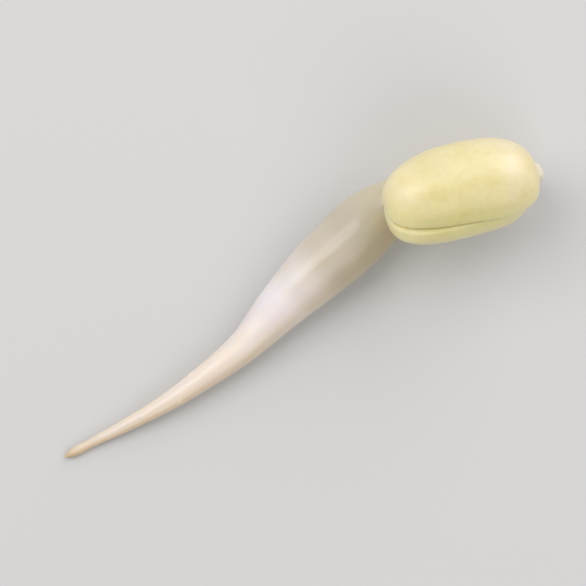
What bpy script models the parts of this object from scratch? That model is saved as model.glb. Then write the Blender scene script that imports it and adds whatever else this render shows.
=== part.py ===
# Mung bean sprout: one seedling, as picked, lying on a table.
#
# A sprout is a stem that swells towards the head, thins to a neck and folds back
# over itself in a hook, with a root tapering away at the other end. Two seed leaves,
# the halves of the old bean, sit face to face on the end of the neck.
#
# Frame: +X runs along the sprout from root to head and +Z is up. The origin is under
# the middle of the sprout, on the table's surface.

import math

import bmesh
import bpy
from mathutils import Matrix, Vector

MM = 0.001

# Stem and root. Each station is the distance along the sprout, the distance across
# it, the thickness, and the height of the underside over the table, in millimetres.
# An underside below zero is cut off level, which leaves the flat spot to rest on.
STEM_STATIONS = (
    (-4.1, 0.22, 0.16, 0.10),
    (-3.8, 0.20, 0.40, 0.00),
    (-2.2, 0.10, 0.58, 0.02),
    (0.4, -0.10, 0.84, 0.16),
    (3.0, -0.20, 1.14, 0.30),
    (6.0, -0.08, 1.54, 0.32),
    (9.4, 0.34, 2.14, 0.18),
    (12.3, 1.16, 2.98, 0.00),
    (15.0, 1.82, 3.74, -0.08),
    (17.8, 2.36, 4.24, -0.11),
    (20.4, 2.92, 3.98, -0.09),
    (23.0, 2.84, 2.86, -0.05),
    (25.6, 1.64, 1.94, -0.03),
)
STEM_SIDES = 24
RINGS_PER_STATION = 6

# Neck: it folds back in the upright plane through the head's axis, and its last
# stretch, the node, lies in the seam between the seed leaves.
NECK_THICKNESS = 1.72 * MM
NODE_THICKNESS = 1.60 * MM
NODE_TIP_THICKNESS = 1.12 * MM
NODE_DEPTH = 2.6 * MM
NODE_TAPER_START = 0.6
HOOK_ALONG = 27.8 * MM
HOOK_STEPS = 6

# Head: the middle of the pair of seed leaves, and its turns. It is rolled so that
# from above the seam shows along the head's right-hand side.
HEAD_ALONG = 25.0 * MM
HEAD_ACROSS = 1.62 * MM
HEAD_HEIGHT = 6.04 * MM
HEAD_YAW = math.radians(-16.5)
HEAD_PITCH = math.radians(10)
HEAD_ROLL = math.radians(-35)

# Seed leaves: the belly is the depth from the seam to the widest part. Each leaf has
# its own length, slide along the head's axis and swing in the plane of the seam.
LEAF_WIDTH = 5.45 * MM
LEAF_THICKNESS = 2.90 * MM
LEAF_BELLY = 0.35 * MM
LEAF_BEND = 0.35 * MM
LEAF_TAPER = 0.10
LEAF_BLUNTNESS = 2.7
LEAF_SQUARENESS = 0.5
LEAF_FLATNESS = 0.4
LEAF_SEGMENTS = 40
LEAF_RINGS = 30
UPPER_LEAF = (9.7 * MM, 0.55 * MM, math.radians(-4))
LOWER_LEAF = (9.1 * MM, 0.30 * MM, math.radians(2))

# Pieces that lie against each other keep this gap.
GAP = 0.3 * MM

# Points closer than this are one point, and no length is divided by less than TINY.
WELD_DISTANCE = 0.001 * MM
TINY = 1e-9

# The slab below the table's surface that cuts the flat spots.
SLAB_LENGTH = 60 * MM
SLAB_WIDTH = 30 * MM
SLAB_DEPTH = 10 * MM

STEM_COLOUR = (0.86, 0.84, 0.74)
STEM_ROUGHNESS = 0.35
LEAF_COLOUR = (0.84, 0.74, 0.30)
LEAF_ROUGHNESS = 0.40


def clear_scene():
    """Start from an empty scene, whatever the file holds."""
    for thing in list(bpy.data.objects):
        bpy.data.objects.remove(thing, do_unlink=True)


def add_collection(name):
    """Make a collection in the scene."""
    collection = bpy.data.collections.new(name)
    bpy.context.scene.collection.children.link(collection)
    return collection


def add_material(name, colour, roughness):
    """Make a plant skin of one colour."""
    material = bpy.data.materials.new(name)
    material.use_nodes = True
    skin = material.node_tree.nodes["Principled BSDF"]
    skin.inputs["Base Color"].default_value = (*colour, 1.0)
    skin.inputs["Roughness"].default_value = roughness
    skin.inputs["Metallic"].default_value = 0.0
    material.diffuse_color = (*colour, 1.0)
    return material


def add_object(name, mesh, collection, anchor):
    """Put a mesh in a collection, held by the anchor."""
    thing = bpy.data.objects.new(name, mesh)
    thing.parent = anchor
    collection.objects.link(thing)
    return thing


def as_cutter(thing):
    """Keep a cutter out of the part: drawn as wire and never rendered."""
    thing.hide_render = True
    thing.display_type = "WIRE"
    return thing


def cut(thing, cutter):
    """Take the cutter's volume away from a piece."""
    boolean = thing.modifiers.new("cut_by_" + cutter.name, "BOOLEAN")
    boolean.operation = "DIFFERENCE"
    boolean.solver = "EXACT"
    boolean.object = cutter


def head_matrix():
    """Place of the head: its X runs along the head to the neck, its Z crosses the seam."""
    turn = (
        Matrix.Rotation(HEAD_YAW, 4, "Z")
        @ Matrix.Rotation(HEAD_PITCH, 4, "Y")
        @ Matrix.Rotation(HEAD_ROLL, 4, "X")
    )
    return Matrix.Translation((HEAD_ALONG, HEAD_ACROSS, HEAD_HEIGHT)) @ turn


def stem_stretch():
    """Points and thicknesses from the root's tip to the foot of the hook."""
    route = []
    for along, across, thickness, underside in STEM_STATIONS:
        middle = Vector((along, across, underside + thickness / 2))
        route.append((middle * MM, thickness * MM))
    return route


def neck_stretch(extra_depth):
    """Points and thicknesses of the hook, from its foot round and into the seam."""
    head = head_matrix()
    inward = head.to_3x3() @ Vector((-1, 0, 0))
    ahead = Vector((math.cos(HEAD_YAW), math.sin(HEAD_YAW), 0))
    up = Vector((0, 0, 1))
    top = head.translation + inward * (HOOK_ALONG - HEAD_ALONG) / inward.x
    radius = (top.z - NECK_THICKNESS / 2) / 2
    centre = top - up * radius
    route = []
    for step in range(HOOK_STEPS + 1):
        share = step / HOOK_STEPS
        angle = math.pi * (share - 0.5)
        place = centre + (ahead * math.cos(angle) + up * math.sin(angle)) * radius
        route.append((place, NECK_THICKNESS + (NODE_THICKNESS - NECK_THICKNESS) * share))
    route.append((top + inward * NODE_DEPTH * NODE_TAPER_START, NODE_THICKNESS))
    route.append((top + inward * (NODE_DEPTH + extra_depth), NODE_TIP_THICKNESS))
    return route


def swept_mesh(name, route, clearance):
    """Sweep a round section of changing thickness along a smooth curve through points."""
    curve = bpy.data.curves.new(name, "CURVE")
    curve.dimensions = "3D"
    curve.resolution_u = RINGS_PER_STATION
    curve.bevel_depth = 1.0
    curve.bevel_resolution = (STEM_SIDES - 4) // 2
    curve.use_fill_caps = True
    spline = curve.splines.new("BEZIER")
    spline.radius_interpolation = "CARDINAL"
    spline.bezier_points.add(len(route) - 1)
    for point, (place, thickness) in zip(spline.bezier_points, route):
        point.co = place
        point.radius = thickness / 2 + clearance
        point.handle_left_type = "AUTO"
        point.handle_right_type = "AUTO"
    guide = bpy.data.objects.new(name + "_guide", curve)
    bpy.context.scene.collection.objects.link(guide)
    evaluated = guide.evaluated_get(bpy.context.evaluated_depsgraph_get())
    mesh = bpy.data.meshes.new_from_object(evaluated)
    bpy.data.objects.remove(guide, do_unlink=True)
    shell = bmesh.new()
    shell.from_mesh(mesh)
    bmesh.ops.remove_doubles(shell, verts=shell.verts, dist=WELD_DISTANCE)
    bmesh.ops.recalc_face_normals(shell, faces=shell.faces)
    shell.to_mesh(mesh)
    shell.free()
    return mesh


def slab_mesh():
    """A block whose top face is the table's surface."""
    slab = bmesh.new()
    bmesh.ops.create_cube(slab, size=1.0)
    bmesh.ops.scale(slab, vec=(SLAB_LENGTH, SLAB_WIDTH, SLAB_DEPTH), verts=slab.verts)
    middle = (HEAD_ALONG / 2, 0, -SLAB_DEPTH / 2)
    bmesh.ops.translate(slab, vec=middle, verts=slab.verts)
    mesh = bpy.data.meshes.new("table_slab")
    slab.to_mesh(mesh)
    slab.free()
    return mesh


def leaf_mesh(name, length, bend):
    """Half a bean on the XY plane: domed above, nearly flat below, blunt at the ends."""
    half = bmesh.new()
    bmesh.ops.create_uvsphere(half, u_segments=LEAF_SEGMENTS, v_segments=LEAF_RINGS, radius=1.0)
    bmesh.ops.rotate(half, matrix=Matrix.Rotation(math.pi / 2, 3, "Y"), verts=half.verts)
    dome = LEAF_THICKNESS - LEAF_BELLY
    for vertex in half.verts:
        along = max(-1.0, min(1.0, vertex.co.x))
        ring = max(math.hypot(vertex.co.y, vertex.co.z), TINY)
        across = vertex.co.y / ring
        up = vertex.co.z / ring
        swell = (1 - abs(along) ** LEAF_BLUNTNESS) ** (1 / LEAF_BLUNTNESS)
        taper = 1 + LEAF_TAPER * along
        if up > 0:
            height = up * dome * taper * swell
        else:
            across = math.copysign(abs(across) ** LEAF_SQUARENESS, across)
            height = -abs(up) ** LEAF_SQUARENESS * LEAF_BELLY * swell**LEAF_FLATNESS
        vertex.co.x = along * length / 2
        vertex.co.y = across * swell * taper * LEAF_WIDTH / 2 - bend * (along**2 - 0.5)
        vertex.co.z = height + LEAF_BELLY + GAP / 2
    bmesh.ops.recalc_face_normals(half, faces=half.faces)
    mesh = bpy.data.meshes.new(name)
    half.to_mesh(mesh)
    half.free()
    return mesh


def add_stem(parts, cutters, anchor):
    """The grown piece: root, stem, neck and hook in one."""
    mesh = swept_mesh("stem_and_root", stem_stretch() + neck_stretch(0.0), 0.0)
    mesh.materials.append(add_material("stem_skin", STEM_COLOUR, STEM_ROUGHNESS))
    mesh.shade_smooth()
    stem = add_object("stem_and_root", mesh, parts, anchor)
    cut(stem, as_cutter(add_object("table_slab", slab_mesh(), cutters, anchor)))


def add_seed_leaves(parts, cutters, anchor):
    """The two halves of the bean, face to face round the node."""
    skin = add_material("seed_leaf_skin", LEAF_COLOUR, LEAF_ROUGHNESS)
    groove_mesh = swept_mesh("node_groove", neck_stretch(GAP), GAP)
    groove = as_cutter(add_object("node_groove", groove_mesh, cutters, anchor))
    halves = (("seed_leaf_upper", UPPER_LEAF, 1), ("seed_leaf_lower", LOWER_LEAF, -1))
    for name, (length, slide, swing), side in halves:
        mesh = leaf_mesh(name, length, side * LEAF_BEND)
        mesh.materials.append(skin)
        mesh.shade_smooth()
        leaf = add_object(name, mesh, parts, anchor)
        turned_over = Matrix.Rotation(0 if side > 0 else math.pi, 4, "X")
        place = Matrix.Translation((slide, 0, 0)) @ Matrix.Rotation(swing, 4, "Z")
        leaf.matrix_local = head_matrix() @ place @ turned_over
        cut(leaf, groove)


def centre_on_origin(parts, anchor):
    """Move the anchor so that the origin is under the middle of the whole sprout."""
    bpy.context.view_layer.update()
    graph = bpy.context.evaluated_depsgraph_get()
    corners = []
    for thing in parts.objects:
        shape = thing.evaluated_get(graph).data
        corners += [thing.matrix_world @ vertex.co for vertex in shape.vertices]
    for axis in range(3):
        low = min(corner[axis] for corner in corners)
        high = max(corner[axis] for corner in corners)
        anchor.location[axis] = -low if axis == 2 else -(low + high) / 2


def main():
    clear_scene()
    parts = add_collection("mung_bean_sprout")
    cutters = add_collection("cutters")
    anchor = bpy.data.objects.new("sprout_anchor", None)
    bpy.context.scene.collection.objects.link(anchor)
    add_stem(parts, cutters, anchor)
    add_seed_leaves(parts, cutters, anchor)
    centre_on_origin(parts, anchor)


main()
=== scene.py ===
# %% [markdown]
# # A mung bean sprout, seen from above
#
# A mung bean sprout is a seedling of a few days, grown in the dark. It has a root, a
# juicy white stem that thins to a neck, and the two halves of the old bean, the seed
# leaves, on the end of the neck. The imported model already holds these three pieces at
# their real size. This lesson gives each one the surface of a living plant.

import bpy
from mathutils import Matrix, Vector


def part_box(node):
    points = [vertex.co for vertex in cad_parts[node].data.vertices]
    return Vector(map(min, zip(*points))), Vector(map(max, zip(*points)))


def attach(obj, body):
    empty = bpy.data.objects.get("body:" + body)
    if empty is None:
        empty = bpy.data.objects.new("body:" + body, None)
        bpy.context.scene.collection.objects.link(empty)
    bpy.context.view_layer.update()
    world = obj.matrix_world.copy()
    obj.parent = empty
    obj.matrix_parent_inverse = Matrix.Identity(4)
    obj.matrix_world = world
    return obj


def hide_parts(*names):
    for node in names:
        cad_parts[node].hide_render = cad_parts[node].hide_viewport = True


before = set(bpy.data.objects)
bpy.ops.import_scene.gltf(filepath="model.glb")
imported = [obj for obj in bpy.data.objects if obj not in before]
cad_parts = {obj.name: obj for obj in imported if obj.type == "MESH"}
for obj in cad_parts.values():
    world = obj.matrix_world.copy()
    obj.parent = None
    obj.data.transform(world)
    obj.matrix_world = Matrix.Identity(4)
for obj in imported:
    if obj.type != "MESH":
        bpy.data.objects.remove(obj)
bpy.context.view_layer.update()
print("nodes:", sorted(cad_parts))

# %% [markdown]
# ## Millimetres first, metres last
#
# A sprout is 35 mm long, and many of Blender's tools are tuned for things of about a
# metre: a voxel can't be smaller than a tenth of a millimetre, for instance. So every
# shape below is modelled with one unit for one millimetre. Its last step scales it down
# to metres, so that the finished object needs no scale of its own.

# %% Modules and units
import math

import bmesh
import bpy
import numpy as np
from mathutils import Matrix, Vector, noise

MM = 0.001
TINY = 1e-9


def mesh_from(shape, name):
    """Turn a bmesh into a mesh and free it."""
    mesh = bpy.data.meshes.new(name)
    shape.to_mesh(mesh)
    shape.free()
    return mesh


def add_piece(name, shape, node, material):
    """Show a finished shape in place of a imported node, riding on the one body."""
    bmesh.ops.scale(shape, vec=(MM, MM, MM), verts=shape.verts)
    mesh = mesh_from(shape, name)
    mesh.shade_smooth()
    mesh.materials.append(material)
    piece = bpy.data.objects.new(name, mesh)
    bpy.context.scene.collection.objects.link(piece)
    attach(piece, "root")
    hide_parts(node)
    size = [round(side / MM, 2) for side in piece.dimensions]
    print(name, "faces:", len(mesh.polygons), "size in mm:", size)
    return piece


print("one millimetre in metres:", MM)

# %% [markdown]
# ## The camera
#
# The sprout lies flat and is seen from straight above. It points from the lower left to
# the upper right, so the camera is turned round its own axis until the line from root to
# head rises to the right. A long lens far away keeps the head, which stands higher than
# the root, from looking too large.

# %% Camera
RISE = math.radians(31.4)
LENS = 200.0
SENSOR = 36.0
VIEW_WIDTH = 36.5 * MM
AIM = Vector((0.2, 0.0, 3.0)) * MM
NEAREST = 0.01
FARTHEST = 10.0


def aim_camera():
    """Look straight down on the sprout, turned so that it rises to the right."""
    camera_data = bpy.data.cameras.new("camera")
    camera_data.lens = LENS
    camera_data.sensor_width = SENSOR
    camera_data.clip_start = NEAREST
    camera_data.clip_end = FARTHEST
    camera = bpy.data.objects.new("camera", camera_data)
    camera.location = AIM + Vector((0, 0, VIEW_WIDTH * LENS / SENSOR))
    camera.rotation_euler = (0, 0, -RISE)
    bpy.context.scene.collection.objects.link(camera)
    bpy.context.scene.camera = camera
    print("camera height in mm:", round(camera.location.z / MM, 1))
    return camera


camera = aim_camera()

# %% [markdown]
# ## The course of the stem
#
# The stem, the root and the neck grew as one piece, so one course runs through them all.
# Each station says where the middle of the stem is and how thick it is there. A curve
# could be drawn by hand in the editor, but a list of stations keeps the thickness and the
# height over the table next to the place that they belong to. The numbers are the packed
# model's own, so that the finished surface lies on its solid.

# %% Stations of the stem
# Distance along the sprout, distance across it, thickness, height of the underside.
STEM_STATIONS = (
    (-4.1, 0.22, 0.16, 0.10),
    (-3.8, 0.20, 0.40, 0.00),
    (-2.2, 0.10, 0.58, 0.02),
    (0.4, -0.10, 0.84, 0.16),
    (3.0, -0.20, 1.14, 0.30),
    (6.0, -0.08, 1.54, 0.32),
    (9.4, 0.34, 2.14, 0.18),
    (12.3, 1.16, 2.98, 0.00),
    (15.0, 1.82, 3.74, -0.08),
    (17.8, 2.36, 4.24, -0.11),
    (20.4, 2.92, 3.98, -0.09),
    (23.0, 2.84, 2.86, -0.05),
    (25.6, 1.64, 1.94, -0.03),
)


def stem_stations():
    """Middle and thickness at each station from the root's tip to the foot of the hook."""
    return [
        (along, across, underside + thickness / 2, thickness)
        for along, across, thickness, underside in STEM_STATIONS
    ]


print("stations of the stem:", len(stem_stations()))

# %% [markdown]
# ## The hook and the head
#
# A seedling pushes through the soil with its neck bent over, which keeps the bean from
# being torn. The neck therefore folds back in half a circle, and the bean lies over the
# stem like a head on a pillow. The head's own axes are set first, by three turns, and the
# half circle is fitted between the head and the table.

# %% Place of the head and stations of the hook
NECK_THICKNESS = 1.72
NODE_THICKNESS = 1.60
NODE_TIP_THICKNESS = 1.12
NODE_DEPTH = 2.6
NODE_TAPER_START = 0.6
HOOK_ALONG = 27.8
HOOK_STEPS = 6
HEAD_MIDDLE = Vector((25.0, 1.62, 6.04))
HEAD_YAW = math.radians(-16.5)
HEAD_PITCH = math.radians(10)
HEAD_ROLL = math.radians(-35)


def head_matrix():
    """Place of the head: its X runs along the head to the neck, its Z crosses the seam."""
    turn = (
        Matrix.Rotation(HEAD_YAW, 4, "Z")
        @ Matrix.Rotation(HEAD_PITCH, 4, "Y")
        @ Matrix.Rotation(HEAD_ROLL, 4, "X")
    )
    return Matrix.Translation(HEAD_MIDDLE) @ turn


def neck_stations(extra_depth):
    """Middle and thickness round the hook, which is half a circle, and into the seam."""
    head = head_matrix()
    inward = head.to_3x3() @ Vector((-1, 0, 0))
    ahead = Vector((math.cos(HEAD_YAW), math.sin(HEAD_YAW), 0))
    up = Vector((0, 0, 1))
    top = head.translation + inward * (HOOK_ALONG - HEAD_MIDDLE.x) / inward.x
    radius = (top.z - NECK_THICKNESS / 2) / 2
    stations = []
    for step in range(HOOK_STEPS + 1):
        share = step / HOOK_STEPS
        angle = math.pi * (share - 0.5)
        place = top - up * radius + (ahead * math.cos(angle) + up * math.sin(angle)) * radius
        stations.append((*place, NECK_THICKNESS + (NODE_THICKNESS - NECK_THICKNESS) * share))
    stations.append((*(top + inward * NODE_DEPTH * NODE_TAPER_START), NODE_THICKNESS))
    stations.append((*(top + inward * (NODE_DEPTH + extra_depth)), NODE_TIP_THICKNESS))
    return stations


course_stations = stem_stations() + neck_stations(0.0)
print("stations from tip to node:", len(course_stations))

# %% [markdown]
# ## A smooth line through the stations
#
# Straight runs between stations would look like bent wire. A spline of cubic pieces goes
# through every station and keeps its direction there. Thickness is treated as a fourth
# coordinate, so it swells as smoothly as the line bends. The rings crowd towards both
# ends, where the root's tip and the hook need them most.

# %% Helpers: a smooth course
RING_CROWDING = 0.6


def reach_of(stations):
    """Distance from the tip to each station."""
    steps = np.linalg.norm(np.diff(np.array(stations)[:, :3], axis=0), axis=1)
    return np.concatenate(([0.0], np.cumsum(steps)))


def course_through(stations, rings):
    """Distance, place and thickness at each ring, on a smooth course through the stations."""
    knots = np.array(stations)
    reach = reach_of(stations)
    slopes = np.gradient(knots, reach, axis=0)
    share = np.linspace(0.0, 1.0, rings + 1)
    crowded = share - RING_CROWDING * np.sin(2 * math.pi * share) / (2 * math.pi)
    distance = reach[-1] * crowded
    left = np.clip(np.searchsorted(reach, distance, side="right") - 1, 0, len(reach) - 2)
    span = (reach[left + 1] - reach[left])[:, None]
    t = (distance - reach[left])[:, None] / span
    points = (
        (2 * t**3 - 3 * t**2 + 1) * knots[left]
        + (t**3 - 2 * t**2 + t) * span * slopes[left]
        + (3 * t**2 - 2 * t**3) * knots[left + 1]
        + (t**3 - t**2) * span * slopes[left + 1]
    )
    return distance, points[:, :3], points[:, 3]


def side_directions(places):
    """Two directions across the course at each ring, carried along it without a twist."""
    heading = np.gradient(places, axis=0)
    heading /= np.linalg.norm(heading, axis=1)[:, None]
    side = np.cross((0.0, 0.0, 1.0), heading[0])
    sides = []
    for ahead in heading:
        side = side - ahead * side.dot(ahead)
        side /= np.linalg.norm(side)
        sides.append((Vector(side), Vector(np.cross(ahead, side))))
    return sides


tip_to_stations = reach_of(course_stations)
HOOK_FOOT = tip_to_stations[len(STEM_STATIONS)]
HOOK_TOP = tip_to_stations[len(STEM_STATIONS) + HOOK_STEPS]
print("length from tip to node in mm:", round(tip_to_stations[-1], 1))
print("the hook runs from", round(HOOK_FOOT, 1), "to", round(HOOK_TOP, 1), "mm")

# %% [markdown]
# ## A tube that can be bent
#
# A stem could be a curve with a bevel, but a curve gives no say over its surface. Here
# the tube is made straight first: an open cylinder whose long edges are cut into many
# rings. Ring by ring it then takes its thickness, its relief and its place on the course.
# Each point also remembers its direction from the middle and its distance from the tip.
# The finish later draws the rows of cells from that, so they follow every bend.

# %% Helpers: a straight tube and a way to bend it
SMALLEST_END = 0.02


def straight_tube(rings, around):
    """An open cylinder of radius 1, whose rings stand one unit apart."""
    tube = bmesh.new()
    bmesh.ops.create_cone(
        tube, cap_ends=False, segments=around, radius1=1.0, radius2=1.0, depth=rings
    )
    bmesh.ops.translate(tube, vec=(0, 0, rings / 2), verts=tube.verts)
    long_edges = [edge for edge in tube.edges if edge.calc_length() > rings / 2]
    bmesh.ops.subdivide_edges(tube, edges=long_edges, cuts=rings - 1, use_grid_fill=True)
    return tube


def rounded_end(radius, from_end):
    """Radius of the tube near its ends, which close like a fingertip."""
    if from_end >= radius:
        return radius
    return radius * math.sqrt(max(1.0 - (1.0 - from_end / radius) ** 2, SMALLEST_END**2))


def bend(tube, stations, rings, relief):
    """Give each ring its thickness, its relief and its place on the course."""
    distance, places, thickness = course_through(stations, rings)
    sides = side_directions(places)
    round_stem = tube.verts.layers.float_vector.new("round_stem")
    for vertex in tube.verts:
        ring = round(vertex.co.z)
        angle = math.atan2(vertex.co.y, vertex.co.x)
        from_end = min(distance[ring], distance[-1] - distance[ring])
        radius = rounded_end(thickness[ring] / 2, from_end)
        radius += relief(angle, distance[ring], radius)
        side, up = sides[ring]
        outward = side * math.cos(angle) + up * math.sin(angle)
        vertex.co = Vector(places[ring]) + outward * radius
        vertex[round_stem] = (math.cos(angle), math.sin(angle), distance[ring])


def bent_tube(stations, rings, around, relief):
    """A closed tube along a course. The relief adds millimetres to each point's radius."""
    tube = straight_tube(rings, around)
    bend(tube, stations, rings, relief)
    rims = [edge for edge in tube.edges if edge.is_boundary]
    caps = bmesh.ops.holes_fill(tube, edges=rims, sides=around)["faces"]
    bmesh.ops.poke(tube, faces=caps)
    bmesh.ops.recalc_face_normals(tube, faces=tube.faces)
    return tube


print("a tube's ends close to this share of its radius:", SMALLEST_END)

# %% [markdown]
# ## The stem's skin in relief
#
# A fresh stem looks round and smooth, and yet no two millimetres of it are alike. It has
# a few soft ridges that wind slowly round it, fine furrows along its cells, and shallow
# dents from growing in a tight space. A displacement texture could draw them, but small
# formulas on the straight tube are easier to steer, because there the distance from the
# tip and the angle round the stem are known. Each one returns millimetres.

# %% Ridges, furrows and dents
RIDGES = 5
RIDGE_HEIGHT = 0.006
RIDGE_WIND = 0.12
WAVE_HEIGHT = 0.040
WAVES_PER_MM = 0.3
FURROW_HEIGHT = 0.0015
FURROWS_AROUND = 2.5
DENT_WIDTH = 1.0
# Distance from the tip, angle round the stem, depth.
DENTS = ((15.6, 1.2, 0.07), (21.0, 2.3, 0.06), (25.2, 0.8, 0.05), (18.4, 4.6, 0.05))


def spot(distance, angle, radius, middle, turn, width):
    """How near a point of the tube is to a spot: 1 in its middle, fading outwards."""
    aside = math.atan2(math.sin(angle - turn), math.cos(angle - turn)) * radius
    return math.exp(-((distance - middle) ** 2 + aside**2) / width**2)


def skin_waves(angle, distance, radius):
    """Soft ridges that wind round the stem, uneven growth and fine furrows."""
    outward = Vector((math.cos(angle), math.sin(angle), 0))
    along = Vector((0, 0, distance)) * WAVES_PER_MM
    height = radius * RIDGE_HEIGHT * math.cos(RIDGES * angle + distance * RIDGE_WIND)
    height += radius * WAVE_HEIGHT * noise.noise(outward * radius * WAVES_PER_MM + along)
    height += FURROW_HEIGHT * noise.noise(outward * FURROWS_AROUND + along)
    return height


def dents(angle, distance, radius):
    """Shallow hollows where something pressed on the growing stem."""
    return -sum(
        depth * spot(distance, angle, radius, middle, turn, DENT_WIDTH)
        for middle, turn, depth in DENTS
    )


print("dents on the stem:", len(DENTS))

# %% [markdown]
# ## The root and the inside of the hook
#
# The root is rougher than the stem: tiny bumps show where side roots were about to come
# out. The skin on the inside of the hook had to shorten as the neck bent, so it lies in
# fine pleats across the neck, as skin does inside an elbow. The outside stays smooth.

# %% Root bumps and pleats
ROOT_END = 12.0
ROOT_ROUGHNESS = 0.03
ROOT_GRAINS_PER_MM = 2.4
BUMP_SHARE = 0.10
BUMP_WIDTH = 0.16
# Distance from the tip, angle round the root.
ROOT_BUMPS = ((2.6, 0.9), (4.2, 3.8), (5.6, 1.6), (6.9, 5.2), (8.1, 2.4), (9.6, 0.4), (11.2, 4.4))
PLEAT_PITCH = 0.46
PLEAT_DEPTH = 0.015
PLEAT_WANDER = 1.2
INSIDE_ANGLE = math.pi / 2
# Noise is 0 wherever all three coordinates are whole, so one of them is kept off them.
OFF_WHOLE = 0.5


def root_skin(angle, distance, radius):
    """Buds of side roots, on a surface that roughens towards the tip."""
    height = sum(
        BUMP_SHARE * radius * spot(distance, angle, radius, middle, turn, BUMP_WIDTH)
        for middle, turn in ROOT_BUMPS
    )
    if distance < ROOT_END:
        rough = ROOT_ROUGHNESS * (1 - distance / ROOT_END)
        place = Vector((math.cos(angle) * radius, math.sin(angle) * radius, distance))
        height += rough * noise.noise(place * ROOT_GRAINS_PER_MM)
    return height


def pleats(angle, distance):
    """Fine folds across the neck, on the inner side of the hook only."""
    if not HOOK_FOOT < distance < HOOK_TOP:
        return 0.0
    inner = max(math.cos(angle - INSIDE_ANGLE), 0.0) ** 2
    along = math.sin(math.pi * (distance - HOOK_FOOT) / (HOOK_TOP - HOOK_FOOT))
    wander = PLEAT_WANDER * noise.noise(Vector((angle, distance, OFF_WHOLE)))
    fold = (1 + math.cos(2 * math.pi * distance / PLEAT_PITCH + wander)) / 2
    return -PLEAT_DEPTH * inner * along * fold


print("buds of side roots:", len(ROOT_BUMPS))

# %% [markdown]
# ## Making the stem
#
# All terms are added up, and softened where the tube is thin so that they can't pinch its
# tip shut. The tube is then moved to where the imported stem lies, which is read from its
# box. The table flattens the underside a little: a soft stem settles on what it lies on.

# %% Make the stem
STEM_RINGS = 460
STEM_AROUND = 96
FULL_RELIEF_RADIUS = 0.3


def stem_relief(angle, distance, radius):
    """Everything that makes the stem's skin uneven, in millimetres."""
    height = skin_waves(angle, distance, radius)
    height += dents(angle, distance, radius)
    height += root_skin(angle, distance, radius)
    height += pleats(angle, distance)
    return height * min(radius / FULL_RELIEF_RADIUS, 1.0)


def offset_to_frame():
    """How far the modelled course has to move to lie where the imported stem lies."""
    _, places, thickness = course_through(course_stations, STEM_RINGS)
    low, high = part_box("stem_and_root")
    own_low = min(places[:, 1] - thickness / 2)
    own_high = max(places[:, 1] + thickness / 2)
    along = low.x / MM - min(places[:, 0])
    across = (low.y + high.y) / 2 / MM - (own_low + own_high) / 2
    return Vector((along, across, 0.0))


TO_FRAME = offset_to_frame()
stem_shape = bent_tube(course_stations, STEM_RINGS, STEM_AROUND, stem_relief)
bmesh.ops.translate(stem_shape, vec=TO_FRAME, verts=stem_shape.verts)
for vertex in stem_shape.verts:
    vertex.co.z = max(vertex.co.z, 0.0)
print("moved by, in mm:", [round(side, 2) for side in TO_FRAME])

# %% [markdown]
# ## Helpers for finishes
#
# Every finish below is a small tree of shader nodes. Wiring them in the editor is quick
# for one material, but hard to read afterwards. These helpers make a node, set its values
# and link its inputs in one call, so that each finish reads from top to bottom.

# %% Helpers: a material and its nodes
def new_material(name):
    """A material, its node tree and its shader."""
    material = bpy.data.materials.new(name)
    material.use_nodes = True
    tree = material.node_tree
    return material, tree, tree.nodes["Principled BSDF"]


def add_node(tree, kind, settings=None, links=None):
    """Add a node, set its values, and link named inputs to other nodes' outputs."""
    node = tree.nodes.new(kind)
    for name, value in (settings or {}).items():
        if name in node.inputs:
            node.inputs[name].default_value = value
        else:
            setattr(node, name, value)
    for name, output in (links or {}).items():
        tree.links.new(output, node.inputs[name])
    return node


def set_shader(shader, values):
    """Set constants on the shader's own sockets."""
    for name, value in values.items():
        shader.inputs[name].default_value = value


print("helpers for materials and nodes are ready")

# %% [markdown]
# ## Places and noise
#
# A finish needs to know where on its piece a point lies. Blender offers coordinates of the
# whole object, but a stem's own coordinates run along it and round it. The stem and the
# seed leaves remembered theirs while they were shaped, and these helpers read them back.
# Noise over them seldom leaves the range of 0.3 to 0.7, which the finishes stretch.

# %% Helpers: places, noise and relief
NOISE_RANGE = (0.3, 0.7)


def remembered_place(tree, attribute, stretch=(1.0, 1.0, 1.0)):
    """A point's own place on its piece, with each axis multiplied."""
    place = add_node(tree, "ShaderNodeAttribute", {"attribute_name": attribute})
    scaled = add_node(
        tree, "ShaderNodeMapping", {"Scale": stretch}, {"Vector": place.outputs["Vector"]}
    )
    return scaled.outputs["Vector"]


def add_noise(tree, place, scale=1.0, detail=2.0):
    """Soft random values from 0 to 1, with so many spots to a unit of the place."""
    settings = {"Scale": scale, "Detail": detail}
    return add_node(tree, "ShaderNodeTexNoise", settings, {"Vector": place}).outputs["Fac"]


def add_range(tree, value, from_min, from_max, to_min=0.0, to_max=1.0):
    """Move a value from one range to another."""
    settings = {"From Min": from_min, "From Max": from_max, "To Min": to_min, "To Max": to_max}
    return add_node(tree, "ShaderNodeMapRange", settings, {"Value": value}).outputs["Result"]


def add_bump(tree, height, strength, depth):
    """Let a value tilt the light on the surface, as relief of so many metres would."""
    settings = {"Strength": strength, "Distance": depth}
    return add_node(tree, "ShaderNodeBump", settings, {"Height": height}).outputs["Normal"]


print("noise is stretched from", NOISE_RANGE)

# %% [markdown]
# ## Layers of colour
#
# Plant skin gets its colour in layers: flesh below, patches and cells above it. Each layer
# here is a ramp of tints that is multiplied with the colour below, as a thin glaze is on a
# painting. Adding them instead would wash the colours out.

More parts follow.
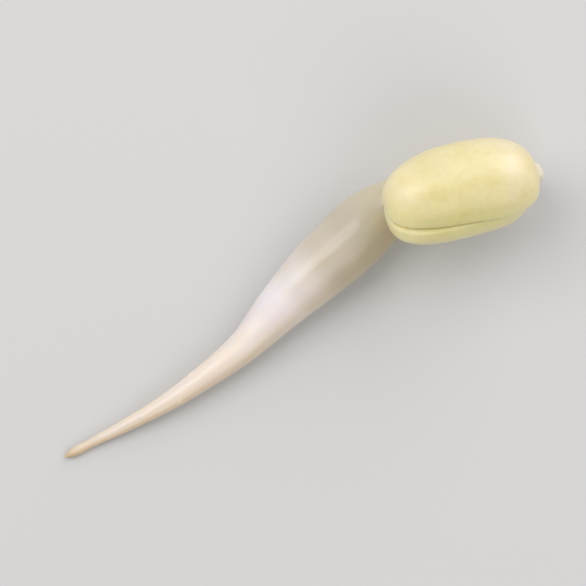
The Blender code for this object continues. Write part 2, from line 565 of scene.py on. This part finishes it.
# %% Helpers: colours
def add_ramp(tree, factor, stops):
    """A colour ramp through stops of place and colour."""
    ramp = tree.nodes.new("ShaderNodeValToRGB")
    ramp.color_ramp.interpolation = "EASE"
    elements = ramp.color_ramp.elements
    while len(elements) < len(stops):
        elements.new(1.0)
    for element, (place, colour) in zip(elements, stops):
        element.position = place
        element.color = (*colour, 1.0)
    tree.links.new(factor, ramp.inputs["Fac"])
    return ramp.outputs["Color"]


def add_mix(tree, factor, first, second, blend="MIX"):
    """Mix two colours. Each of the three may be a number, a colour or an output."""
    mix = tree.nodes.new("ShaderNodeMix")
    mix.data_type = "RGBA"
    mix.blend_type = blend
    sockets = (mix.inputs[0], mix.inputs[6], mix.inputs[7])
    for socket, value in zip(sockets, (factor, first, second)):
        if isinstance(value, bpy.types.NodeSocket):
            tree.links.new(value, socket)
        elif isinstance(value, tuple):
            socket.default_value = (*value, 1.0)
        else:
            socket.default_value = value
    return mix.outputs[2]


def tinted(tree, colour, strength, value, tints):
    """A colour multiplied by the tints of a ramp."""
    return add_mix(tree, strength, colour, add_ramp(tree, value, tints), "MULTIPLY")


print("helpers for layers of colour are ready")

# %% [markdown]
# ## The stem's colour
#
# Grown without light, a stem makes no green: it is white flesh under a clear skin, tan at
# the root's tip and glassy beige near the head, where the flesh is at its most watery. The
# darker olive beige right beside the head is also painted shade of the head with a painted
# yellow reflection from it, and the whitest, faintly lilac stretch holds a painted bluish
# reflection. The change runs along the stem, so the first layer is a ramp over the distance
# from the tip. One side is painted darker and creamier: painted shade on the side away from
# the main light. Long lilac and cream patches and faint rows of cells go over both. A
# picture wrapped round the stem would be quicker, but it would bring its own light and
# shade with it.

# %% Colour of the stem
STEM_LENGTH = tip_to_stations[-1]
STEM_COLOURS = (
    (0.000, (0.62, 0.45, 0.29)),
    (0.025, (0.75, 0.61, 0.47)),
    (0.090, (0.82, 0.71, 0.61)),
    (0.220, (0.86, 0.76, 0.67)),
    (0.330, (0.88, 0.81, 0.76)),
    # The whitest, faintly lilac stop: white flesh with a painted bluish reflection.
    (0.400, (0.90, 0.85, 0.85)),
    # From here to 0.72: watery beige flesh, darkened by painted shade of the head and a painted
    # yellow reflection from it.
    (0.440, (0.81, 0.76, 0.72)),
    (0.500, (0.65, 0.59, 0.48)),
    (0.550, (0.58, 0.53, 0.41)),
    (0.620, (0.59, 0.54, 0.39)),
    (0.720, (0.68, 0.62, 0.45)),
    (0.860, (0.84, 0.77, 0.58)),
    (0.980, (0.80, 0.70, 0.38)),
)
NO_TINT = (1.0, 1.0, 1.0)
PATCH_TINTS = ((0.36, (0.98, 0.94, 0.88)), (0.50, NO_TINT), (0.64, (0.98, 0.97, 1.02)))
# Spots to one radius across the stem, and to one millimetre along it.
PATCH_STRETCH = (1.3, 1.3, 0.20)
PATCH_STRENGTH = 0.8
ROW_TINTS = ((0.34, (0.95, 0.93, 0.90)), (0.66, NO_TINT))
ROW_STRETCH = (3.0, 3.0, 0.12)
ROW_DETAIL = 4.0
ROW_STRENGTH = 0.55
# Painted shade: the side away from the main light is darker and creamier.
SHADED_SIDE_TINTS = ((0.0, (0.80, 0.72, 0.56)), (1.0, NO_TINT))
SHADED_SIDE_EDGES = (-0.9, 0.2)
SHADED_SIDE_STRENGTH = 0.8


def stem_colour(tree):
    """Tan to white to beige along the stem, with painted shade by the head and on one side, patches
    and rows.
    """
    place = remembered_place(tree, "round_stem")
    parts = add_node(tree, "ShaderNodeSeparateXYZ", links={"Vector": place})
    from_tip = add_range(tree, parts.outputs["Z"], 0.0, STEM_LENGTH)
    colour = add_ramp(tree, from_tip, STEM_COLOURS)
    # Painted shade on the side of the stem away from the main light.
    side = add_range(tree, parts.outputs["X"], *SHADED_SIDE_EDGES)
    colour = tinted(tree, colour, SHADED_SIDE_STRENGTH, side, SHADED_SIDE_TINTS)
    patches = add_noise(tree, remembered_place(tree, "round_stem", PATCH_STRETCH))
    colour = tinted(tree, colour, PATCH_STRENGTH, patches, PATCH_TINTS)
    row_place = remembered_place(tree, "round_stem", ROW_STRETCH)
    rows = add_noise(tree, row_place, detail=ROW_DETAIL)
    return tinted(tree, colour, ROW_STRENGTH, rows, ROW_TINTS)


print("stem colours along", round(STEM_LENGTH, 1), "mm:", len(STEM_COLOURS))

# %% [markdown]
# ## The stem's shine and depth
#
# The skin is moist, so it has a clear, fairly sharp gloss over a softer one, which its
# cells break up a little. Light also goes into the flesh and comes out a millimetre
# further on, which is why a sprout seems to glow at its edges: that is subsurface
# scattering. Glass with white inside could look like it, but would take far longer to
# render without noise.

# %% Finish of the stem
CELLS_PER_MM = 3.0
CELL_RELIEF = 0.03 * MM
CELL_STRENGTH = 0.03
STEM_ROUGHNESS = (0.29, 0.36)
STEM_SHADER = {
    "Subsurface Weight": 0.8,
    "Subsurface Radius": (1.0, 0.85, 0.65),
    "Subsurface Scale": 1.2 * MM,
    "Coat Weight": 0.5,
    "Coat Roughness": 0.12,
    "IOR": 1.40,
}


def stem_skin():
    """Moist white plant skin."""
    material, tree, skin = new_material("stem_skin")
    tree.links.new(stem_colour(tree), skin.inputs["Base Color"])
    place = add_node(tree, "ShaderNodeTexCoord").outputs["Object"]
    cells = add_noise(tree, place, CELLS_PER_MM / MM)
    shine = add_range(tree, cells, *NOISE_RANGE, *STEM_ROUGHNESS)
    tree.links.new(shine, skin.inputs["Roughness"])
    tree.links.new(add_bump(tree, cells, CELL_STRENGTH, CELL_RELIEF), skin.inputs["Normal"])
    set_shader(skin, STEM_SHADER)
    return material


add_piece("sprout_stem_and_root", stem_shape, "stem_and_root", stem_skin())

# %% [markdown]
# ## The shape of a seed leaf
#
# A seed leaf is half a bean: domed outside, almost flat where it faces its twin, and
# blunt at both ends. A ball could be sculpted into it by hand. Here a cube is cut into
# small squares and blown up to a ball, and one formula presses every point into the
# half bean, with a rounded rim. Squares all over leave no pole to pinch the gloss. The
# two halves reach a hair past the seam, because they are pressed together there.

# %% Values and shape of a seed leaf
LEAF_WIDTH = 5.45
LEAF_THICKNESS = 3.06
LEAF_BELLY = 0.45
LEAF_BEND = 0.35
LEAF_TAPER = 0.10
LEAF_BLUNTNESS = 2.7
LEAF_SQUARENESS = 0.30
LEAF_FLATNESS = 0.3
LEAF_CUTS = 79
SEAM_PRESS = 0.04
BEND_MIDDLE = 0.5
# Length, slide along the head, swing in the plane of the seam, side of the seam and the
# place in the noise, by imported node.
LEAVES = {
    "seed_leaf_upper": (9.7, 0.55, math.radians(-4), 1, 0.0),
    "seed_leaf_lower": (9.1, 0.30, math.radians(2), -1, 20.0),
}


def pressed(ball, length, bend):
    """Where a point of the ball goes when the ball is pressed into half a bean."""
    along = max(-1.0, min(1.0, ball.x))
    ring = max(math.hypot(ball.y, ball.z), TINY)
    across = ball.y / ring
    up = ball.z / ring
    swell = (1 - abs(along) ** LEAF_BLUNTNESS) ** (1 / LEAF_BLUNTNESS)
    taper = 1 + LEAF_TAPER * along
    if up > 0:
        height = up * (LEAF_THICKNESS - LEAF_BELLY) * taper * swell
    else:
        across = math.copysign(abs(across) ** LEAF_SQUARENESS, across)
        height = -abs(up) ** LEAF_SQUARENESS * LEAF_BELLY * swell**LEAF_FLATNESS
    sideways = across * swell * taper * LEAF_WIDTH / 2 - bend * (along**2 - BEND_MIDDLE)
    return Vector((along * length / 2, sideways, height + LEAF_BELLY - SEAM_PRESS))


def half_bean(length, bend):
    """Half a bean on its flat side, made from a cube of small squares."""
    half = bmesh.new()
    bmesh.ops.create_cube(half, size=2.0)
    bmesh.ops.subdivide_edges(half, edges=half.edges, cuts=LEAF_CUTS, use_grid_fill=True)
    for vertex in half.verts:
        vertex.co = pressed(vertex.co.normalized(), length, bend)
    bmesh.ops.recalc_face_normals(half, faces=half.faces)
    return half


print("lengths of the seed leaves in mm:", [values[0] for values in LEAVES.values()])

# %% [markdown]
# ## Room for the neck
#
# The neck ends between the seed leaves, in a groove that both of them leave for it. A
# Boolean cuts that groove with a slightly thicker copy of the neck. It leaves long thin
# faces along the cut, so a voxel remesh then skins the leaf anew with small even squares,
# and a few rounds of smoothing take away the steps that voxels leave.

# %% Helpers: carve a shape and skin it anew
VOXEL = 0.065
SMOOTHING_ROUNDS = 7
SMOOTHING_SHARE = 0.5
NECK_CLEARANCE = 0.05
KNIFE_RINGS = 120
KNIFE_AROUND = 48
KNIFE_DEPTH = 0.1


def smooth_neck(angle, distance, radius):
    """The relief of the knife: none."""
    return 0.0


def neck_knife():
    """A copy of the neck, thicker by the clearance."""
    stations = [
        (x, y, z, thickness + 2 * NECK_CLEARANCE)
        for x, y, z, thickness in neck_stations(KNIFE_DEPTH)
    ]
    return bent_tube(stations, KNIFE_RINGS, KNIFE_AROUND, smooth_neck)


def carved(shape, knife_shape):
    """Cut one shape by another, and skin the result anew with small even squares."""
    body = bpy.data.objects.new("carving", mesh_from(shape, "carving"))
    knife = bpy.data.objects.new("knife", mesh_from(knife_shape, "knife"))
    for thing in (body, knife):
        bpy.context.scene.collection.objects.link(thing)
    cut = body.modifiers.new("cut", "BOOLEAN")
    cut.operation = "DIFFERENCE"
    cut.solver = "EXACT"
    cut.object = knife
    skin = body.modifiers.new("skin", "REMESH")
    skin.mode = "VOXEL"
    skin.voxel_size = VOXEL
    graph = bpy.context.evaluated_depsgraph_get()
    mesh = bpy.data.meshes.new_from_object(body.evaluated_get(graph))
    for thing in (body, knife):
        bpy.data.objects.remove(thing, do_unlink=True)
    result = bmesh.new()
    result.from_mesh(mesh)
    bpy.data.meshes.remove(mesh)
    return result


def smoothed(shape):
    """Take the voxels' steps away."""
    every_axis = {"use_axis_x": True, "use_axis_y": True, "use_axis_z": True}
    for _ in range(SMOOTHING_ROUNDS):
        bmesh.ops.smooth_vert(shape, verts=shape.verts, factor=SMOOTHING_SHARE, **every_axis)
    shape.normal_update()
    return shape


print("voxel in mm:", VOXEL)

# %% [markdown]
# ## The seed leaf's skin in relief
#
# Bean flesh swells unevenly as it drinks, so the dome has wide, shallow swellings. Veins
# fan out from the neck just under the skin and show here and there as faint furrows. Both
# move each point along its normal. They are kept small, because the leaf is smooth to the
# eye. A brush could push them in by hand, but not the same way on both leaves.

# %% Relief of a seed leaf
SWELLING_HEIGHT = 0.055
SWELLINGS_PER_MM = 0.45
RIPPLE_HEIGHT = 0.006
RIPPLES_PER_MM = 1.5
VEIN_DEPTH = 0.002
VEIN_WIDTH = 0.16
VEIN_WANDER = 0.5
VEIN_FADE = 0.6
VEINS_EACH_SIDE = 3
VEIN_SPREAD = 3.4
VEIN_SHOWING = 0.5
DOME_START = 1.0


def vein_share(place, length):
    """How near a point of the dome is to a vein: 1 in its middle, 0 away from it."""
    x, y, z = place
    from_neck = min(max((length / 2 - x) / length, 0.0), 1.0)
    fan = math.sin(math.pi * from_neck)
    share = 0.0
    for vein in range(-VEINS_EACH_SIDE, VEINS_EACH_SIDE + 1):
        sample = Vector((x * VEIN_FADE, vein * math.pi, OFF_WHOLE))
        middle = vein / VEIN_SPREAD * LEAF_WIDTH / 2 * math.sqrt(fan)
        middle += VEIN_WANDER * noise.noise(sample)
        clear = max(noise.noise(sample.yxz) + VEIN_SHOWING, 0.0)
        share += clear * math.exp(-(((y - middle) / VEIN_WIDTH) ** 2))
    dome = min(max((z - DOME_START) / DOME_START, 0.0), 1.0)
    return share * fan * dome


def leaf_relief(place, seed):
    """Swellings and ripples, in millimetres."""
    sample = place + Vector((seed, 0, 0))
    swelling = SWELLING_HEIGHT * noise.noise(sample * SWELLINGS_PER_MM)
    return swelling + RIPPLE_HEIGHT * noise.noise(sample * RIPPLES_PER_MM)


print("veins on each seed leaf:", 2 * VEINS_EACH_SIDE + 1)

# %% [markdown]
# ## Making a seed leaf
#
# Both leaves come from one function. The lower one is the same half bean turned over,
# with its own length, slide and swing, because the two halves of a sprouting bean never
# lie exactly on each other. As on the stem, each point remembers its place in the leaf.

# %% Helper: make a seed leaf
def seed_leaf(length, slide, swing, side, seed):
    """One seed leaf, carved round the neck and put in its place on the head."""
    turned_over = Matrix.Rotation(0 if side > 0 else math.pi, 4, "X")
    set_askew = Matrix.Translation((slide, 0, 0)) @ Matrix.Rotation(swing, 4, "Z")
    to_sprout = head_matrix() @ set_askew @ turned_over
    knife = neck_knife()
    bmesh.ops.transform(knife, matrix=to_sprout.inverted(), verts=knife.verts)
    leaf = smoothed(carved(half_bean(length, side * LEAF_BEND), knife))
    inside_leaf = leaf.verts.layers.float_vector.new("inside_leaf")
    vein = leaf.verts.layers.float.new("vein")
    for vertex in leaf.verts:
        place = vertex.co.copy()
        vertex[inside_leaf] = place
        vertex[vein] = vein_share(place, length)
        vertex.co += vertex.normal * (leaf_relief(place, seed) - VEIN_DEPTH * vertex[vein])
    bmesh.ops.transform(leaf, matrix=Matrix.Translation(TO_FRAME) @ to_sprout, verts=leaf.verts)
    print("seed leaf of", length, "mm, points:", len(leaf.verts))
    return leaf


# %% [markdown]
# ## The seed leaf's colour
#
# The dome is pale yellow, darker and more olive towards the seam, where it faces its twin:
# partly the flesh's own tone and partly painted shade of the underside. It is paler at both
# ends: painted light on the far end and a painted highlight on the neck end. A plain yellow
# would look like plastic: soft mottling of two sizes breaks it up, as the starch does below
# the skin of a real bean. A painted texture could do the same, but ramps over the point's
# place in the leaf keep every change easy to find.

# %% Colour of a seed leaf
# From seam to dome: darker and more olive at the seam, partly the flesh's own tone and partly
# painted shade of the underside and the crease.
SEAM_COLOURS = (
    (0.00, (0.76, 0.69, 0.33)),
    (0.14, (0.80, 0.72, 0.31)),
    (0.36, (0.79, 0.70, 0.31)),
    (0.70, (0.79, 0.70, 0.35)),
    (1.00, (0.82, 0.74, 0.41)),
)
# Painted light on the far end and a painted highlight on the neck end.
PAINTED_END_LIGHT_TINTS = (
    (0.00, (1.17, 1.16, 1.40)),
    (0.28, NO_TINT),
    (0.60, NO_TINT),
    (0.90, (1.03, 1.03, 1.25)),
)
PAINTED_END_LIGHT_STRENGTH = 1.0
MOTTLE_TINTS = ((0.34, (0.97, 0.95, 0.87)), (0.50, NO_TINT), (0.66, (1.0, 0.99, 1.06)))
MOTTLES_PER_MM = 0.6
MOTTLE_STRENGTH = 0.8
GRAIN_TINTS = ((0.30, (0.95, 0.94, 0.89)), (0.60, NO_TINT))
GRAINS_PER_MM = 3.0
GRAIN_DETAIL = 4.0
GRAIN_STRENGTH = 0.6
VEIN_TINT = (0.975, 0.98, 0.94)


def leaf_colour(tree):
    """Olive at the seam, partly painted shade, to yellow on the dome, mottled, with painted light
    and a painted highlight at the ends.
    """
    place = remembered_place(tree, "inside_leaf")
    parts = add_node(tree, "ShaderNodeSeparateXYZ", links={"Vector": place})
    from_seam = add_range(tree, parts.outputs["Z"], 0.0, LEAF_THICKNESS)
    colour = add_ramp(tree, from_seam, SEAM_COLOURS)
    half = min(values[0] for values in LEAVES.values()) / 2
    # Painted light on the far end and a painted highlight on the neck end.
    from_far_end = add_range(tree, parts.outputs["X"], -half, half)
    colour = tinted(tree, colour, PAINTED_END_LIGHT_STRENGTH, from_far_end, PAINTED_END_LIGHT_TINTS)
    mottle = add_noise(tree, place, MOTTLES_PER_MM)
    colour = tinted(tree, colour, MOTTLE_STRENGTH, mottle, MOTTLE_TINTS)
    grain = add_noise(tree, place, GRAINS_PER_MM, GRAIN_DETAIL)
    colour = tinted(tree, colour, GRAIN_STRENGTH, grain, GRAIN_TINTS)
    vein = add_node(tree, "ShaderNodeAttribute", {"attribute_name": "vein"}).outputs["Fac"]
    return add_mix(tree, vein, colour, VEIN_TINT, "MULTIPLY")


print("colours from seam to dome:", len(SEAM_COLOURS))

# %% [markdown]
# ## The seed leaf's shine and depth
#
# The skin of the flesh is satin: smooth enough for a soft highlight, never wet like the
# stem. Light goes in less deeply than into the stem, and yellow light comes back. The
# pores are too small for the mesh, so a bump in the finish stands in for them.

# %% Finish of a seed leaf
PORES_PER_MM = 6.0
PORE_RELIEF = 0.03 * MM
PORE_STRENGTH = 0.05
LEAF_ROUGHNESS = (0.30, 0.42)
LEAF_SHADER = {
    "Subsurface Weight": 0.45,
    "Subsurface Radius": (1.0, 0.75, 0.28),
    "Subsurface Scale": 1.0 * MM,
    "Coat Weight": 0.6,
    "Coat Roughness": 0.30,
    "IOR": 1.42,
}


def leaf_skin():
    """Satin pale yellow bean flesh."""
    material, tree, skin = new_material("seed_leaf_skin")
    tree.links.new(leaf_colour(tree), skin.inputs["Base Color"])
    pores = add_noise(tree, remembered_place(tree, "inside_leaf"), PORES_PER_MM)
    shine = add_range(tree, pores, *NOISE_RANGE, *LEAF_ROUGHNESS)
    tree.links.new(shine, skin.inputs["Roughness"])
    tree.links.new(add_bump(tree, pores, PORE_STRENGTH, PORE_RELIEF), skin.inputs["Normal"])
    set_shader(skin, LEAF_SHADER)
    return material


bean_skin = leaf_skin()
for leaf_node, leaf_values in LEAVES.items():
    leaf_shape = seed_leaf(*leaf_values)
    add_piece("sprout_" + leaf_node, leaf_shape, leaf_node, bean_skin)

# %% [markdown]
# ## The table
#
# A plain pale table shows the sprout's own colours and catches its soft shadow. One large
# square is enough. It lies a hair below the sprout's underside, so that the two surfaces
# don't flicker through each other.

# %% Table
TABLE_SIZE = 2.0
TABLE_DROP = 0.01 * MM
TABLE_SHADER = {"Base Color": (0.64, 0.64, 0.63, 1.0), "Roughness": 0.75}


def add_table():
    """A plain pale surface under the sprout."""
    plane = bmesh.new()
    bmesh.ops.create_grid(plane, x_segments=1, y_segments=1, size=TABLE_SIZE / 2)
    bmesh.ops.translate(plane, vec=(0, 0, -TABLE_DROP), verts=plane.verts)
    mesh = mesh_from(plane, "table")
    material, _, surface = new_material("pale_table")
    set_shader(surface, TABLE_SHADER)
    mesh.materials.append(material)
    surface_object = bpy.data.objects.new("table", mesh)
    bpy.context.scene.collection.objects.link(surface_object)
    return surface_object


table = add_table()
print("table, width in metres:", table.dimensions.x)

# %% [markdown]
# ## The light
#
# A large soft panel at the upper left of the picture does most of the work, and leaves
# the lower right side of the stem in shade. A second one, low at the upper right, draws
# the highlight on the end of the head. A third lifts the seam a little from below, and a
# small one far left gives the stem its moist gloss. Small lamps would do it too, but with
# hard shadows. A dim, even sky fills what is left.

# %% Light
PANEL_DISTANCE = 0.4
ALONG_SPROUT = Vector((1, 0, 0))
SKY_COLOUR = (0.93, 0.94, 0.96, 1.0)
SKY_STRENGTH = 0.50
# Place in the picture (right, up, towards the camera), length, width, watts, colour.
PANELS = {
    "key_light": ((-0.6, 0.45, 1.2), 0.30, 0.24, 0.58, (1.0, 0.98, 0.96)),
    "highlight": ((1.25, 1.6, 1.1), 0.36, 0.36, 0.84, (1.0, 0.94, 0.98)),
    "fill_light": ((0.4, -0.8, 0.9), 0.30, 0.30, 0.30, (1.0, 0.98, 0.94)),
    "gloss_light": ((-0.85, 0.45, 0.55), 0.16, 0.10, 0.05, (0.97, 0.98, 1.0)),
}


def add_panel(name, in_picture, length, width, power, colour):
    """A soft light, whose long side lies along the sprout."""
    toward = (camera.rotation_euler.to_matrix() @ Vector(in_picture)).normalized()
    across = toward.cross(ALONG_SPROUT).normalized()
    data = bpy.data.lights.new(name, "AREA")
    data.shape = "RECTANGLE"
    data.size = length
    data.size_y = width
    data.energy = power
    data.color = colour
    light = bpy.data.objects.new(name, data)
    light.location = AIM + toward * PANEL_DISTANCE
    turn = Matrix((across.cross(toward), across, toward)).transposed()
    light.rotation_euler = turn.to_euler()
    light.visible_camera = False
    bpy.context.scene.collection.objects.link(light)


def add_sky():
    """An even, dim light from all round."""
    world = bpy.data.worlds.new("studio")
    world.use_nodes = True
    set_shader(world.node_tree.nodes["Background"], {"Color": SKY_COLOUR, "Strength": SKY_STRENGTH})
    bpy.context.scene.world = world


for panel, values in PANELS.items():
    add_panel(panel, *values)
add_sky()
bpy.context.scene.view_settings.view_transform = "Standard"
print("lights:", [light.name for light in bpy.data.lights])
